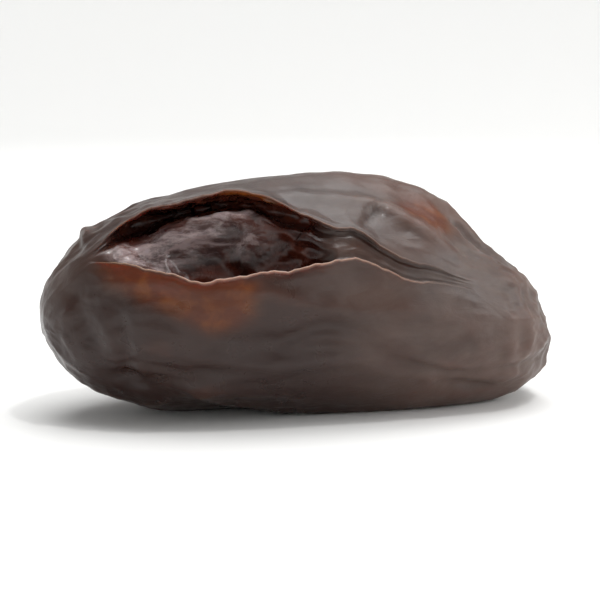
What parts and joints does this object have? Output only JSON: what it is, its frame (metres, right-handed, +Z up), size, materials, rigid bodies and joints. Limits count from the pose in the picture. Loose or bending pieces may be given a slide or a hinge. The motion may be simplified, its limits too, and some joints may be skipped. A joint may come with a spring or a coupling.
{
  "type": "pitted date",
  "caption": "Wrinkled oval date fruit lying on its belly, with a long gaping slit along its upper front side and the empty hollow where the stone was.",
  "frame": {"origin": "on the surface the date lies on, under the middle of its bounding box", "axes": "+X along the fruit from the tip to the stem end, +Z up, -Y the front that the slit faces"},
  "size_m": [0.0406, 0.0204, 0.0185],
  "materials": {
    "date_skin": "sticky satin gloss over dark red-brown, translucent skin and flesh"
  },
  "bodies": {
    "root": {"date": "date_skin"}
  },
  "joints": []
}
